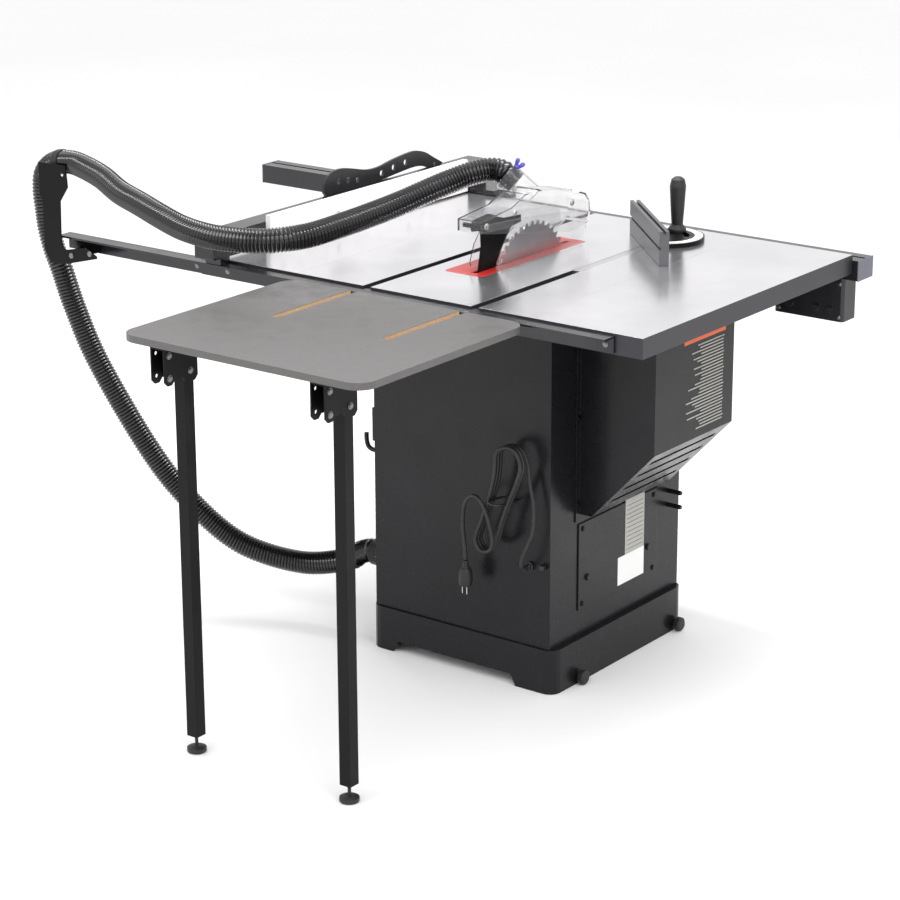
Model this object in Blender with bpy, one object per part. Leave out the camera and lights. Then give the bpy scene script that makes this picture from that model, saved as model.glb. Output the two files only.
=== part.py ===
"""Cabinet table saw with left-tilting arbor, rip fence, miter gauge, blade guard, dust hose and outfeed table.

Sizes are in millimetres in a plan frame: x from the table's left edge, y from its outfeed edge
(negative towards the operator), z from the floor. place() turns them into the shared frame in metres.
"""

import math

import bmesh
import bpy
from mathutils import Vector

# ---- driving dimensions, mm
TOP = 834.0
DEPTH = 775.0
WIDTH = 1067.0
RIM = 40.0
WEB = 12.0
MAIN_X = (254.0, 813.0)
SLOT_X = (377.0, 638.0)
SLOT_WIDE = 19.0
SLOT_DEEP = 9.5
BLADE_X = 529.0
BLADE_Y = -395.0
BLADE_R = 127.0
ARBOR_DOWN = 57.0
MOTOR_DOWN = 270.0
MOTOR_Y = -410.0
GAP = 0.3
X_MID = 777.5
Y_MID = -185.5
CABINET = (317.0, 758.0, -642.0, -168.0)
PLINTH = (304.0, 769.0, -648.0, -163.0, 94.0)
RAIL_Y = (-835.0, -775.3)
RAIL_Z = (780.0, 822.0)
RAIL_X = (-12.0, 1567.0)
LEG_X = (328.0, 704.0)
LEG_Y = 458.0
LEG_PIN_Z = 765.0
HOSE_R = 25.0
CORD_R = 4.0

for old in list(bpy.data.objects):
    bpy.data.objects.remove(old)
SCENE = bpy.context.scene.collection
PARTS = bpy.data.collections.new("table_saw")
CUTTERS = bpy.data.collections.new("cutters")
SCENE.children.link(PARTS)
SCENE.children.link(CUTTERS)


def place(p):
    """A plan point in mm as a shared-frame point in metres."""
    return Vector(((p[0] - X_MID) / 1000, (p[1] - Y_MID) / 1000, p[2] / 1000))


def material(name, colour, metallic=0.0, rough=0.5, alpha=1.0):
    made = bpy.data.materials.new(name)
    made.use_nodes = True
    shader = made.node_tree.nodes["Principled BSDF"]
    shader.inputs["Base Color"].default_value = (*colour, 1)
    shader.inputs["Metallic"].default_value = metallic
    shader.inputs["Roughness"].default_value = rough
    shader.inputs["Alpha"].default_value = alpha
    return made


BLACK = material("black_paint", (0.03, 0.03, 0.032), 0.0, 0.45)
IRON = material("ground_iron", (0.55, 0.56, 0.58), 1.0, 0.3)
CASTING = material("casting", (0.22, 0.22, 0.23), 0.8, 0.5)
STEEL = material("steel", (0.6, 0.6, 0.6), 1.0, 0.3)
RED = material("red_plastic", (0.5, 0.03, 0.02), 0.0, 0.4)
GREEN = material("green_plastic", (0.03, 0.35, 0.08), 0.0, 0.4)
CLEAR = material("clear_plastic", (0.85, 0.87, 0.9), 0.0, 0.1, 0.35)
BLUE = material("clamp_plastic", (0.1, 0.08, 0.4), 0.0, 0.4)
RUBBER = material("rubber", (0.02, 0.02, 0.02), 0.0, 0.6)
ALUMINIUM = material("aluminium", (0.7, 0.7, 0.72), 1.0, 0.35)
WHITE = material("white_board", (0.85, 0.85, 0.83), 0.0, 0.4)
LAMINATE = material("laminate", (0.07, 0.07, 0.075), 0.0, 0.4)


def new_object(name, mesh, coat=None):
    made = bpy.data.objects.new(name, mesh)
    if coat is None:
        CUTTERS.objects.link(made)
        made.hide_render = True
        made.display_type = "WIRE"
    else:
        PARTS.objects.link(made)
        mesh.materials.append(coat)
    return made


def solid(name, rings, coat=None, closed=False):
    """A skin over rings of equal length: capped at both ends, or joined round when closed."""
    shape = bmesh.new()
    rows = [[shape.verts.new(place(p)) for p in ring] for ring in rings]
    count = len(rows[0])
    steps = len(rows) if closed else len(rows) - 1
    for i in range(steps):
        low = rows[i]
        high = rows[(i + 1) % len(rows)]
        for j in range(count):
            k = (j + 1) % count
            shape.faces.new((low[j], low[k], high[k], high[j]))
    if not closed:
        shape.faces.new(rows[0][::-1])
        shape.faces.new(rows[-1])
    bmesh.ops.recalc_face_normals(shape, faces=shape.faces)
    if shape.calc_volume(signed=True) < 0:
        bmesh.ops.reverse_faces(shape, faces=shape.faces)
    mesh = bpy.data.meshes.new(name)
    shape.to_mesh(mesh)
    shape.free()
    return new_object(name, mesh, coat)


def box(name, x0, x1, y0, y1, z0, z1, coat=None):
    base = [(x0, y0, z0), (x1, y0, z0), (x1, y1, z0), (x0, y1, z0)]
    return solid(name, [base, [(x, y, z1) for x, y, z in base]], coat)


def along(axis, at, u, v):
    """A point `at` along the axis with u, v on the other two, in x, y, z order."""
    if axis == "x":
        return (at, u, v)
    if axis == "y":
        return (u, at, v)
    return (u, v, at)


def prism(name, axis, outline, a, b, coat=None):
    rings = [[along(axis, at, u, v) for u, v in outline] for at in (a, b)]
    return solid(name, rings, coat)


def turned(name, axis, centre, profile, coat=None, sides=24):
    """Round solid: profile lists (distance along the axis, radius); centre is (u, v)."""
    rings = []
    for at, radius in profile:
        ring = []
        for i in range(sides):
            turn = 2 * math.pi * i / sides
            ring.append(along(axis, at, centre[0] + radius * math.cos(turn), centre[1] + radius * math.sin(turn)))
        rings.append(ring)
    return solid(name, rings, coat)


def rod(name, axis, centre, radius, a, b, coat=None, sides=24):
    return turned(name, axis, centre, [(a, radius), (b, radius)], coat, sides)


def hoop(name, axis, centre, inner, outer, a, b, coat=None, sides=32):
    """A flat-sided ring."""
    rings = []
    for at, radius in ((a, inner), (a, outer), (b, outer), (b, inner)):
        ring = []
        for i in range(sides):
            turn = 2 * math.pi * i / sides
            ring.append(along(axis, at, centre[0] + radius * math.cos(turn), centre[1] + radius * math.sin(turn)))
        rings.append(ring)
    return solid(name, rings, coat, closed=True)


def sector(centre, inner, outer, low, high, step=3.75):
    """Outline of a ring sector: angles in degrees from straight down, positive to +x."""
    count = max(2, round((high - low) / step))
    turns = [math.radians(low + (high - low) * i / count) for i in range(count + 1)]
    out = [(centre[0] + outer * math.sin(t), centre[1] - outer * math.cos(t)) for t in turns]
    back = [(centre[0] + inner * math.sin(t), centre[1] - inner * math.cos(t)) for t in reversed(turns)]
    return out + back


def rounded(x0, x1, y0, y1, radius, steps=4):
    points = []
    corners = ((x1 - radius, y1 - radius, 0), (x0 + radius, y1 - radius, 90),
               (x0 + radius, y0 + radius, 180), (x1 - radius, y0 + radius, 270))
    for cx, cy, start in corners:
        for i in range(steps + 1):
            turn = math.radians(start + 90 * i / steps)
            points.append((cx + radius * math.cos(turn), cy + radius * math.sin(turn)))
    return points


def smooth_route(points, step):
    """A Catmull-Rom curve through the points, sampled about every `step` mm."""
    line = [Vector(p) for p in points]
    line = [2 * line[0] - line[1]] + line + [2 * line[-1] - line[-2]]
    route = []
    for i in range(1, len(line) - 2):
        a, b, c, d = line[i - 1:i + 3]
        count = max(1, round((c - b).length / step))
        for j in range(count):
            t = j / count
            route.append(0.5 * ((2 * b) + (c - a) * t + (2 * a - 5 * b + 4 * c - d) * t * t
                                + (3 * b - a - 3 * c + d) * t ** 3))
    route.append(line[-2])
    return route


def sweep(name, route, radius, coat=None, sides=8):
    """A round bar along a route; radius is a number or a function of the point's index."""
    route = [Vector(p) for p in route]
    tangent = (route[1] - route[0]).normalized()
    side = tangent.orthogonal().normalized()
    rings = []
    for i, point in enumerate(route):
        ahead = route[min(i + 1, len(route) - 1)] - route[max(i - 1, 0)]
        turn = tangent.rotation_difference(ahead.normalized())
        tangent = ahead.normalized()
        side = (turn @ side).normalized()
        other = tangent.cross(side)
        wide = radius(i) if callable(radius) else radius
        ring = []
        for j in range(sides):
            angle = 2 * math.pi * j / sides
            ring.append(point + wide * (math.cos(angle) * side + math.sin(angle) * other))
        rings.append(ring)
    return solid(name, rings, coat)


def combine(target, other, operation):
    change = target.modifiers.new(operation.lower(), "BOOLEAN")
    change.operation = operation
    change.solver = "EXACT"
    change.object = other
    if other.name in PARTS.objects:
        PARTS.objects.unlink(other)
        CUTTERS.objects.link(other)
    other.hide_render = True
    other.display_type = "WIRE"
    return target


def join(target, *others):
    for other in others:
        combine(target, other, "UNION")
    return target


def cut(target, *others):
    for other in others:
        combine(target, other, "DIFFERENCE")
    return target


def pivot(made, point):
    """Moves the object's origin onto its joint axis, leaving its shape where it is."""
    origin = place(point)
    for vertex in made.data.vertices:
        vertex.co -= origin
    made.location = origin
    return made


def table_tops():
    x0, x1 = MAIN_X
    under = TOP - RIM
    table = box("main_table", x0, x1, -DEPTH, 0, under, TOP, IRON)
    cut(table, box("c_table_low", x0 + 12, x1 - 12, -DEPTH + 12, -12, under - 1, TOP - 26))
    for a, b in ((x0 + 12, 357), (397, 618), (658, x1 - 12)):
        cut(table, box(f"c_table_{a:.0f}", a, b, -DEPTH + 12, -12, TOP - 27, TOP - WEB))
    for i, x in enumerate(SLOT_X):
        half = SLOT_WIDE / 2
        cut(table, box(f"c_slot_{i}", x - half, x + half, -DEPTH - 1, 1, TOP - SLOT_DEEP, TOP + 1))
    pocket = rounded(BLADE_X - 31, BLADE_X + 63, -555, -185, 12)
    cut(table, prism("c_throat_ledge", "z", pocket, TOP - 6.3, TOP + 1))
    cut(table, box("c_throat", BLADE_X - 25, BLADE_X + 57, -540, -200, TOP - 20, TOP))
    for name, a, b in (("left_wing", 0, x0 - GAP), ("right_wing", x1 + GAP, WIDTH)):
        wing = box(name, a, b, -DEPTH, 0, under, TOP, IRON)
        middle = (a + b) / 2
        cut(wing, box(f"c_{name}_a", a + 8, middle - 4, -DEPTH + 8, -8, under - 1, TOP - 9))
        cut(wing, box(f"c_{name}_b", middle + 4, b - 8, -DEPTH + 8, -8, under - 1, TOP - 9))


def throat_insert():
    outline = rounded(BLADE_X - 30.7, BLADE_X + 62.7, -554.7, -185.3, 11.7)
    insert = prism("throat_insert", "z", outline, TOP - 6, TOP - 0.1, RED)
    cut(insert, box("c_insert_slit", BLADE_X - 3, BLADE_X + 9, -535, -205, TOP - 10, TOP + 1))
    cut(insert, rod("c_insert_finger", "z", (BLADE_X + 30, -532), 9, TOP - 10, TOP + 1, sides=16))


# ---- base and cabinet


def plinth():
    x0, x1, y0, y1, high = PLINTH
    base = prism("base_plinth", "z", rounded(x0, x1, y0, y1, 25), 0, high, BLACK)
    inner = rounded(x0 + 4, x1 - 4, y0 + 4, y1 - 4, 21)
    cut(base, prism("c_plinth_inner", "z", inner, -1, high - 4))
    cut(base, box("c_plinth_top", x0 + 50, x1 - 50, y0 + 50, y1 - 50, high - 10, high + 1))
    arch = [(397, -1), (711, -1), (698, 24), (410, 24)]
    cut(base, prism("c_plinth_arch", "y", arch, y1 - 10, y1 + 5))
    arch = [(397, -1), (711, -1), (698, 24), (410, 24)]
    cut(base, prism("c_plinth_arch_front", "y", arch, y0 - 5, y0 + 10))


def cabinet():
    x0, x1, y0, y1 = CABINET
    low = PLINTH[4] + GAP
    high = TOP - 26 - GAP
    shell = box("cabinet_shell", x0, x1, y0, y1, low, high, BLACK)
    cut(shell, box("c_cab_inner", x0 + 3, x1 - 3, y0 + 3, y1 - 3, low + 3, high - 4))
    cut(shell, box("c_cab_top", x0 + 12, x1 - 12, y0 + 12, y1 - 12, high - 10, high + 1))
    cut(shell, box("c_cab_motor", x0 - 5, x0 + 10, -540, -275, 352, 780))
    cut(shell, box("c_cab_lower", x0 - 5, x0 + 10, -540, -280, 168, 318))
    arc = sector((BLADE_X, TOP), 190, 214, -12.5, 40.5)
    cut(shell, prism("c_cab_arc", "y", arc, y0 - 5, y0 + 8))
    bearing = box("j_worm_bearing", BLADE_X - 75, BLADE_X - 63, y0 + 1, -585, TOP - 262, TOP - 225)
    join(shell, bearing)
    for i, z in enumerate((316, 285)):
        join(shell, turned(f"j_peg_{i}", "x", (-597, z), [(x0 - 35, 4), (x0 - 32, 5), (x0 + 1, 5)], sides=12))
    join(shell, rod("j_port", "x", (-225, 185), 29, x1 - 1, x1 + 45, sides=28))
    cut(shell, rod("c_port", "x", (-225, 185), 26, x1 - 6, x1 + 50, sides=28))
    cut(shell, rod("c_worm", "x", (-599, TOP - 242), 8.5, BLADE_X - 80, x1 + 5, sides=20))
    cut(shell, rod("c_cord", "y", (365, 265), 5, y1 - 10, y1 + 3, sides=16))
    hook = smooth_route([(x1 - 1, -190, 425), (x1 + 22, -190, 424), (x1 + 34, -190, 430),
                         (x1 + 38, -190, 445), (x1 + 38, -190, 458)], 8)
    join(shell, sweep("j_hook", hook, 5, sides=8))
    join(shell, box("j_hook_plate", x1 - 1, x1 + 3, -205, -175, 405, 450))
    join(shell, box("j_side_bracket", x1 - 1, x1 + 6, -190, -169, 452, 523))


def lower_side_panel():
    x0 = CABINET[0]
    panel = box("lower_side_panel", x0 - 2.7, x0 - GAP, -554, -265, 150, 335, BLACK)
    for i, y in enumerate((-520, -297)):
        join(panel, rod(f"j_panel_bolt_{i}", "x", (y, 214), 7, x0 - 7, x0 - 2, sides=6))


def motor_cover():
    x0 = CABINET[0] - GAP
    outer = [(x0 - 2, 790), (140, 790), (140, 512), (285, 358), (x0 - 2, 358)]
    cover = prism("motor_cover", "y", outer, -554, -265, BLACK)
    join(cover, box("j_cover_flange", x0 - 2.5, x0, -566, -253, 343, 790))
    inner = [(x0 + 2, 787), (143, 787), (143, 513.2), (286.2, 361), (x0 + 2, 361)]
    cut(cover, prism("c_cover_inner", "y", inner, -551, -268))
    for i in range(4):
        z = 390 + 32 * i
        x = 285 - (z - 358) * 145 / 154
        cut(cover, box(f"c_louvre_{i}", x - 18, x + 14, -530, -290, z - 4, z + 4))
    join(cover, rod("j_cover_hinge_a", "z", (x0 - 4.5, -566), 4, 700, 760, sides=12))
    join(cover, rod("j_cover_hinge_b", "z", (x0 - 4.5, -566), 4, 380, 440, sides=12))
    pivot(cover, (x0 - 4.5, -566, 570))


def mobility_wheels():
    x0 = PLINTH[0]
    for name, y in (("rear_base_wheel", -253), ("front_base_wheel", -615)):
        profile = [(x0 - 20, 11), (x0 - 17, 15), (x0 - 7, 15), (x0 - 5, 12), (x0 - 4.9, 6), (x0 - GAP, 6)]
        wheel = turned(name, "x", (y, 15.4), profile, RUBBER, 20)
        pivot(wheel, (x0 - 12, y, 15.4))


# ---- trunnions, carriage and arbor, placed relative to the tilt axis


def trunnion(name, y0, y1):
    ring = prism(name, "y", sector((BLADE_X, TOP), 170.6, 185, -80, 80), y0, y1, CASTING)
    for side in (-1, 1):
        a = BLADE_X + side * 174
        b = BLADE_X + side * 195
        join(ring, box(f"j_{name}_{side}", min(a, b), max(a, b), y0, y1, TOP - 50, TOP - WEB - GAP))


def tilt_carriage():
    c = (BLADE_X, TOP)
    body = box("tilt_carriage", BLADE_X - 60, BLADE_X - 48, -553, -228, TOP - 158, TOP - 45, CASTING)
    join(body, prism("j_end_front", "y", sector(c, 60, 170, -40, 25), -560, -546))
    join(body, prism("j_end_rear", "y", sector(c, 60, 170, -40, 25), -235, -221))
    join(body, box("j_way_low", BLADE_X - 60, BLADE_X - 48, -545, -236, TOP - 200, TOP - 157))
    cut(body, box("c_window", BLADE_X - 65, BLADE_X - 44, -446, -344, TOP - 172, TOP - 40))
    join(body, box("j_shelf", BLADE_X - 49, BLADE_X - 14, -341, -309, TOP - 180, TOP - 172.5))
    join(body, box("j_lug", BLADE_X - 59, BLADE_X - 14, -540, -525, TOP - 216, TOP - 184))
    join(body, prism("j_spoke", "y", sector(c, 120, 222, -26, -14), -606, -592))
    join(body, prism("j_spoke_root", "y", sector(c, 120, 165, -26, -14), -600, -555))
    join(body, prism("j_sector", "y", sector(c, 214, 230, -50, 6), -606, -592))
    join(body, box("j_clamp", BLADE_X - 14, BLADE_X - 1.6, -262, -228, TOP - 110, TOP - 62))
    cut(body, rod("c_screw_hole", "z", (BLADE_X - 30, -325), 6.5, TOP - 185, TOP - 165, sides=20))
    cut(body, rod("c_shaft_hole", "y", (BLADE_X - 30, TOP - 200), 7.4, -545, -520, sides=20))
    pivot(body, (BLADE_X, -395, TOP))


def arbor_bracket():
    b = box("arbor_bracket", BLADE_X - 69, BLADE_X - 12, -440, -350, TOP - 85, TOP - 28, CASTING)
    join(b, box("j_block_left", BLADE_X - 70, BLADE_X - 64, -440, -329, TOP - 120, TOP - 30))
    join(b, box("j_beam", BLADE_X - 110, BLADE_X - 65, -349, -329, TOP - 120, TOP - 86))
    join(b, box("j_arm", BLADE_X - 110, BLADE_X - 100, -348, -330, TOP - 205, TOP - 90))
    join(b, box("j_motor_plate", BLADE_X - 109.5, BLADE_X - 100.5, -480, -338, TOP - 345, TOP - 195))
    join(b, box("j_nut_lug", BLADE_X - 42, BLADE_X - 18, -352, -313, TOP - 84, TOP - 60))
    cut(b, rod("c_arbor", "x", (BLADE_Y, TOP - ARBOR_DOWN), 8.6, BLADE_X - 75, BLADE_X - 5, sides=24))
    cut(b, rod("c_motor_shaft", "x", (MOTOR_Y, TOP - MOTOR_DOWN), 10, BLADE_X - 115, BLADE_X - 95, sides=20))
    cut(b, rod("c_nut", "z", (BLADE_X - 30, -325), 6.5, TOP - 90, TOP - 55, sides=20))
    pivot(b, (BLADE_X - 30, -325, TOP - 70))


def pulley(name, centre, radius, bore):
    x = BLADE_X
    profile = [(x - 96, radius), (x - 93.5, radius), (x - 93.4, radius - 6), (x - 76.6, radius - 6),
               (x - 76.5, radius), (x - 74, radius)]
    made = turned(name, "x", centre, profile, STEEL, 32)
    if bore:
        cut(made, rod(f"c_{name}", "x", centre, bore, x - 100, x - 70, sides=24))
    return made


def arbor_parts():
    x = BLADE_X
    z = TOP - ARBOR_DOWN
    centre = (BLADE_Y, z)
    profile = [(x - 99, 8), (x - 8, 8), (x - 7.9, 22), (x - 1.6, 22), (x - 1.5, 7.8), (x + 24, 7.8)]
    shaft = turned("arbor_shaft", "x", centre, profile, STEEL, 24)
    pivot(shaft, (x, BLADE_Y, z))
    pivot(pulley("arbor_pulley", centre, 32, 8.3), (x - 85, BLADE_Y, z))
    outline = []
    teeth = 40
    for i in range(teeth):
        for share, radius in ((0.0, BLADE_R), (0.3, BLADE_R - 1), (0.42, BLADE_R - 9), (0.8, BLADE_R - 7)):
            turn = 2 * math.pi * (i + share) / teeth
            outline.append((BLADE_Y + radius * math.cos(turn), z + radius * math.sin(turn)))
    blade = prism("blade", "x", outline, x - 1.2, x + 1.2, STEEL)
    cut(blade, rod("c_blade_bore", "x", centre, 8.1, x - 5, x + 5))
    pivot(blade, (x, BLADE_Y, z))
    nut = rod("arbor_nut", "x", centre, 21, x + 1.5, x + 6, STEEL, 24)
    join(nut, rod("j_nut_hex", "x", centre, 14, x + 5, x + 20, sides=6))
    cut(nut, rod("c_nut_bore", "x", centre, 8.1, x, x + 25))
    pivot(nut, (x, BLADE_Y, z))


def loop_outline(a, ra, b, rb, steps=14):
    """Belt outline round two circles, a above b."""
    base = math.atan2(b[1] - a[1], b[0] - a[0])
    apart = math.hypot(b[0] - a[0], b[1] - a[1])
    lean = math.acos((ra - rb) / apart)
    points = []
    for i in range(steps + 1):
        turn = base + lean + (2 * math.pi - 2 * lean) * i / steps
        points.append((a[0] + ra * math.cos(turn), a[1] + ra * math.sin(turn)))
    for i in range(steps + 1):
        turn = base - lean + 2 * lean * i / steps
        points.append((b[0] + rb * math.cos(turn), b[1] + rb * math.sin(turn)))
    return points


def motor_parts():
    x = BLADE_X
    z = TOP - MOTOR_DOWN
    centre = (MOTOR_Y, z)
    profile = [(x - 291, 52), (x - 283, 64), (x - 252, 68), (x - 250, 70), (x - 140, 70), (x - 138, 66),
               (x - 118, 62), (x - 112, 40)]
    motor = turned("motor", "x", centre, profile, BLACK, 28)
    join(motor, box("j_motor_box", x - 240, x - 170, MOTOR_Y - 62, MOTOR_Y - 10, z + 40, z + 88))
    pivot(motor, (x - 200, MOTOR_Y, z))
    rotor = pulley("motor_pulley", centre, 36, 0)
    join(rotor, rod("j_motor_shaft", "x", centre, 9, x - 111.6, x - 95, sides=20))
    pivot(rotor, (x - 85, MOTOR_Y, z))
    top = (BLADE_Y, TOP - ARBOR_DOWN)
    belt = prism("drive_belt", "x", loop_outline(top, 34.5, centre, 38.5), x - 93, x - 77, RUBBER)
    cut(belt, prism("c_belt", "x", loop_outline(top, 30, centre, 34), x - 95, x - 75))
    cut(belt, rod("c_belt_a", "x", top, 30.2, x - 95, x - 75, sides=32))
    cut(belt, rod("c_belt_b", "x", centre, 34.2, x - 95, x - 75, sides=32))


# ---- height and tilt drives


def wheel_shape(name, axis, centre, a, b, coat):
    """Handwheel: rim, hub and three spokes."""
    wheel = hoop(name, axis, centre, 74, 86, a, b, coat, 40)
    join(wheel, rod(f"j_{name}_hub", axis, centre, 17, a, b, sides=20))
    for i in range(3):
        turn = math.radians(90 + 120 * i)
        c, s = math.cos(turn), math.sin(turn)
        pts = []
        for along_it, across in ((10, -8), (78, -6), (78, 6), (10, 8)):
            pts.append((centre[0] + along_it * c - across * s, centre[1] + along_it * s + across * c))
        join(wheel, prism(f"j_{name}_spoke_{i}", axis, pts, a + 4, b - 4))
    return wheel


def height_drive():
    x = BLADE_X - 30
    z = TOP - 200
    profile = [(TOP - 188, 11.5), (TOP - 184, 15.5), (TOP - 183.9, 6), (TOP - 45, 6)]
    screw = turned("elevating_screw", "z", (x, -325), profile, STEEL, 20)
    pivot(screw, (x, -325, TOP - 120))
    profile = [(-694, 8), (-676, 8), (-675.9, 7), (-341.1, 7), (-341, 15.5), (-337, 11.5)]
    shaft = turned("raise_shaft", "y", (x, z), profile, STEEL, 20)
    pivot(shaft, (x, -500, z))
    wheel = wheel_shape("raise_handwheel", "y", (x, z), -700, -680, BLACK)
    cut(wheel, rod("c_raise_hub", "y", (x, z), 8.3, -695, -670, sides=20))
    join(wheel, rod("j_raise_pin", "y", (x, z + 80), 3.5, -757, -690, sides=12))
    pivot(wheel, (x, -690, z))
    grip = hoop("raise_crank_grip", "y", (x, z + 80), 4, 11, -754, -703, BLACK, 16)
    pivot(grip, (x, -725, z + 80))


def tilt_drive():
    y = -599
    z = TOP - 242
    x = BLADE_X
    profile = [(x - 78, 8), (x - 20, 8), (x - 19.9, 11), (x + 20, 11), (x + 20.1, 8), (x + 272, 8)]
    shaft = turned("tilt_worm_shaft", "x", (y, z), profile, STEEL, 20)
    pivot(shaft, (x + 100, y, z))
    wheel = wheel_shape("tilt_handwheel", "x", (y, z), x + 258, x + 278, BLACK)
    cut(wheel, rod("c_tilt_hub", "x", (y, z), 8.3, x + 250, x + 272.5, sides=20))
    join(wheel, rod("j_tilt_pin", "x", (y, z + 80), 3.5, x + 268, x + 335, sides=12))
    pivot(wheel, (x + 268, y, z))
    grip = hoop("tilt_crank_grip", "x", (y, z + 80), 4, 11, x + 281, x + 332, BLACK, 16)
    pivot(grip, (x + 305, y, z + 80))


# ---- splitter and guard

HOOD_PIN = (-205.0, TOP + 95)
SPIGOT = (Vector((BLADE_X - 12, -376, TOP + 126)), Vector((0.72, 0.28, 0.63)).normalized())
SPIGOT_LONG = 64


def above(points):
    return [(y, TOP + z) for y, z in points]


def splitter():
    outline = above([(-262, -104), (-236, -104), (-236, -52), (-214, -20), (-215, 0), (-226, 50), (-224, 82), (-196, 86),
                     (-193, 98), (-200, 106), (-226, 108), (-250, 110), (-300, 94), (-358, 90), (-358, 76),
                     (-325, 72), (-298, 40), (-273, 0), (-264, -30)])
    plate = prism("splitter", "x", outline, BLADE_X - 1.3, BLADE_X + 1.3, BLACK)
    join(plate, rod("j_hood_pin", "x", HOOD_PIN, 5, BLADE_X - 25.4, BLADE_X + 25.4, sides=16))
    pivot(plate, (BLADE_X, -240, TOP))


def blade_guard():
    outer = above([(-188, 86), (-483, 34), (-540, 32), (-560, 42), (-568, 60), (-565, 84), (-549, 103), (-505, 118), (-454, 127),
                   (-384, 139), (-338, 139), (-288, 120), (-188, 110)])
    hood = prism("guard_hood", "x", outer, BLADE_X - 29, BLADE_X + 29, CLEAR)
    start, lean = SPIGOT
    join(hood, sweep("j_spigot", [start, start + SPIGOT_LONG * lean], 28, sides=28))
    inner = above([(-191, 20), (-540, 20), (-558, 45), (-565, 62), (-562, 82), (-547, 100), (-504, 115), (-454, 124), (-384, 136),
                   (-339, 136), (-289, 117), (-191, 107.4)])
    cut(hood, prism("c_hood", "x", inner, BLADE_X - 26, BLADE_X + 26))
    cut(hood, sweep("c_spigot", [start - 6 * lean, start + 70 * lean], 25.4, sides=28))
    pivot(hood, (BLADE_X, *HOOD_PIN))
    plate = above([(-198, 102), (-212, 102), (-300, 96), (-420, 84), (-520, 72), (-540, 60), (-544, 30),
                   (-532, 3), (-236, 3), (-234, 12), (-247, 45), (-269, 71), (-290, 82), (-212, 88), (-198, 88)])
    for name, a, b in (("left_side_shield", -34.3, -32.3), ("right_side_shield", 32.3, 34.3)):
        shield = prism(name, "x", plate, BLADE_X + a, BLADE_X + b, CLEAR)
        pivot(shield, (BLADE_X + a, *HOOD_PIN))


def hose_route():
    points = [(592, -341, 1010), (614, -311, 1005), (636, -278, 994), (658, -230, 980), (685, -168, 961),
              (707, -100, 947), (727, -30, 936), (749, 35, 927), (779, 90, 924), (830, 120, 921),
              (894, 135, 920), (943, 138, 922), (1001, 132, 927), (1065, 120, 938), (1137, 100, 949),
              (1215, 75, 958), (1293, 44, 973), (1369, 19, 981), (1415, 12, 984), (1462, 10, 975), (1493, 8, 948),
              (1499, 8, 909), (1495, 8, 868), (1491, 6, 826), (1480, 4, 784), (1465, 0, 742),
              (1442, -12, 656), (1396, -30, 538), (1302, -75, 353), (1225, -112, 244), (1118, -150, 159),
              (988, -195, 129), (880, -222, 150), (845, -225, 173), (818, -225, 184)]
    start, lean = SPIGOT
    return [start + 38 * lean, start + 56 * lean, start + 74 * lean] + points + [(806, -225, 185), (784, -225, 185)]


def dust_hose():
    hose = sweep("dust_hose", smooth_route(hose_route(), 38), HOSE_R, RUBBER, 12)
    start, lean = SPIGOT
    a = start + 53 * lean
    clamp = sweep("hood_hose_clamp", [a, a + 9 * lean], 31.5, BLUE, 24)
    cut(clamp, sweep("c_hood_clamp", [a - 9 * lean, a + 19 * lean], 28.4, sides=24))
    tab = a + 5 * lean
    side = lean.cross(Vector((0, 1, 0))).normalized()
    join(clamp, sweep("j_hood_tab", [tab - 29.5 * side, tab - 46 * side], 4.5, sides=8))
    pivot(clamp, tuple(a))
    ring = hoop("port_hose_clamp", "x", (-225, 185), 29.4, 33, 772, 784, BLUE, 28)
    join(ring, box("j_port_tab", 773, 783, -231, -219, 216, 234))
    return hose


def hose_hanger():
    outline = [(1403, 775), (1446, 772), (1462, 800), (1462, 905), (1469, 915), (1469, 985), (1392, 985),
               (1388, 940), (1411, 908), (1414, 822), (1409, 810), (1400, 806), (1345, 818), (1314, 804),
               (1313, 799)]
    plate = prism("hose_hanger", "y", outline, 48, 51, BLACK)
    cut(plate, rod("c_hanger_hole", "y", (1403, 966), 5, 45, 55, sides=16))
    join(plate, box("j_hanger_shelf", 1345, 1400, 5.4, 49, 800, 803))
    join(plate, box("j_hanger_tab", 1345, 1400, 5.3, 8.3, 799.9, 824))


# ---- rails, switch and fence


def rails():
    rail = box("front_rail", *RAIL_X, *RAIL_Y, *RAIL_Z, BLACK)
    low, high = RAIL_Z
    cut(rail, box("c_rail_inner", RAIL_X[0] - 1, RAIL_X[1] + 1, RAIL_Y[0] + 7, RAIL_Y[1] - 4, low + 4, high - 7))
    cut(rail, box("c_rail_top", RAIL_X[0] - 1, RAIL_X[1] + 1, -811, -803, high - 3, high + 1))
    cut(rail, box("c_rail_front", RAIL_X[0] - 1, RAIL_X[1] + 1, RAIL_Y[0] - 1, RAIL_Y[0] + 3, 793, 801))
    rear = box("rear_rail", 60, 1436, GAP, 5, 797, 830, BLACK)
    join(rear, box("j_rear_top", 60, 1436, GAP + 0.1, 35, 826, 829.9))
    for i, x in enumerate((300, 690)):
        join(rear, box(f"j_panel_arm_{i}", x, x + 40, 2, 95, 812, 819.6))


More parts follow.
